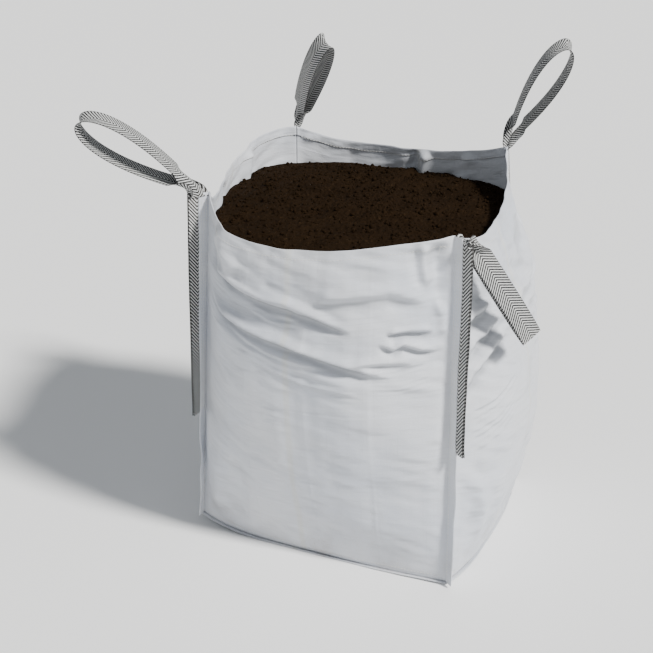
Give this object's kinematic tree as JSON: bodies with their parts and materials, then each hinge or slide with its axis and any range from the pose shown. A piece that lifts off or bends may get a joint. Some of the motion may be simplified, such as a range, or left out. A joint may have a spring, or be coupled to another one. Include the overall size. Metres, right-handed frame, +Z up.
{
  "type": "filled bulk bag",
  "caption": "Open-top woven bulk bag standing full of dark soil, sewn corner seams with webbing legs and a webbing lifting loop hinged at each corner.",
  "frame": {"origin": "middle of the flat underside of the base, on the floor", "axes": "+Z up; -Y towards the front panel, +X towards the right panel seen from the front"},
  "size_m": [1.2844, 1.141, 1.4809],
  "materials": {
    "woven_fabric": "matte",
    "webbing": "matte",
    "thread": "matte",
    "soil": "matte"
  },
  "bodies": {
    "bag": {"front_panel": "woven_fabric", "right_panel": "woven_fabric", "back_panel": "woven_fabric", "left_panel": "woven_fabric", "base_panel": "woven_fabric", "soil_fill": "soil", "front_left_strap_leg_a": "webbing", "front_left_strap_leg_b": "webbing", "front_right_strap_leg_a": "webbing", "front_right_strap_leg_b": "webbing", "back_right_strap_leg_a": "webbing", "back_right_strap_leg_b": "webbing", "back_left_strap_leg_a": "webbing", "back_left_strap_leg_b": "webbing", "front_hem_stitching": "thread", "right_hem_stitching": "thread", "back_hem_stitching": "thread", "left_hem_stitching": "thread", "front_base_stitching": "thread", "right_base_stitching": "thread", "back_base_stitching": "thread", "left_base_stitching": "thread", "front_left_seam_stitching": "thread", "front_right_seam_stitching": "thread", "back_right_seam_stitching": "thread", "back_left_seam_stitching": "thread", "front_left_strap_stitching": "thread", "front_right_strap_stitching": "thread", "back_right_strap_stitching": "thread", "back_left_strap_stitching": "thread"},
    "front_left_lifting_loop": {"front_left_loop": "webbing"},
    "front_right_lifting_loop": {"front_right_loop": "webbing"},
    "back_right_lifting_loop": {"back_right_loop": "webbing"},
    "back_left_lifting_loop": {"back_left_loop": "webbing"}
  },
  "joints": [
    {"name": "front_left_loop_swing", "type": "hinge", "parent": "bag", "child": "front_left_lifting_loop", "pos_m": [-0.35563, -0.41852, 1.099], "axis": [0.4895, -0.872, 0], "range_deg": [-140, 50]},
    {"name": "front_right_loop_swing", "type": "hinge", "parent": "bag", "child": "front_right_lifting_loop", "pos_m": [0.45959, -0.42368, 1.074], "axis": [-0.6812, 0.7321, 0], "range_deg": [-200, 0]},
    {"name": "back_right_loop_swing", "type": "hinge", "parent": "bag", "child": "back_right_lifting_loop", "pos_m": [0.30765, 0.40864, 1.144], "axis": [0.3011, 0.9536, 0], "range_deg": [-120, 80]},
    {"name": "back_left_loop_swing", "type": "hinge", "parent": "bag", "child": "back_left_lifting_loop", "pos_m": [-0.42368, 0.42159, 1.131], "axis": [0.6854, 0.7282, 0], "range_deg": [-120, 50]}
  ]
}
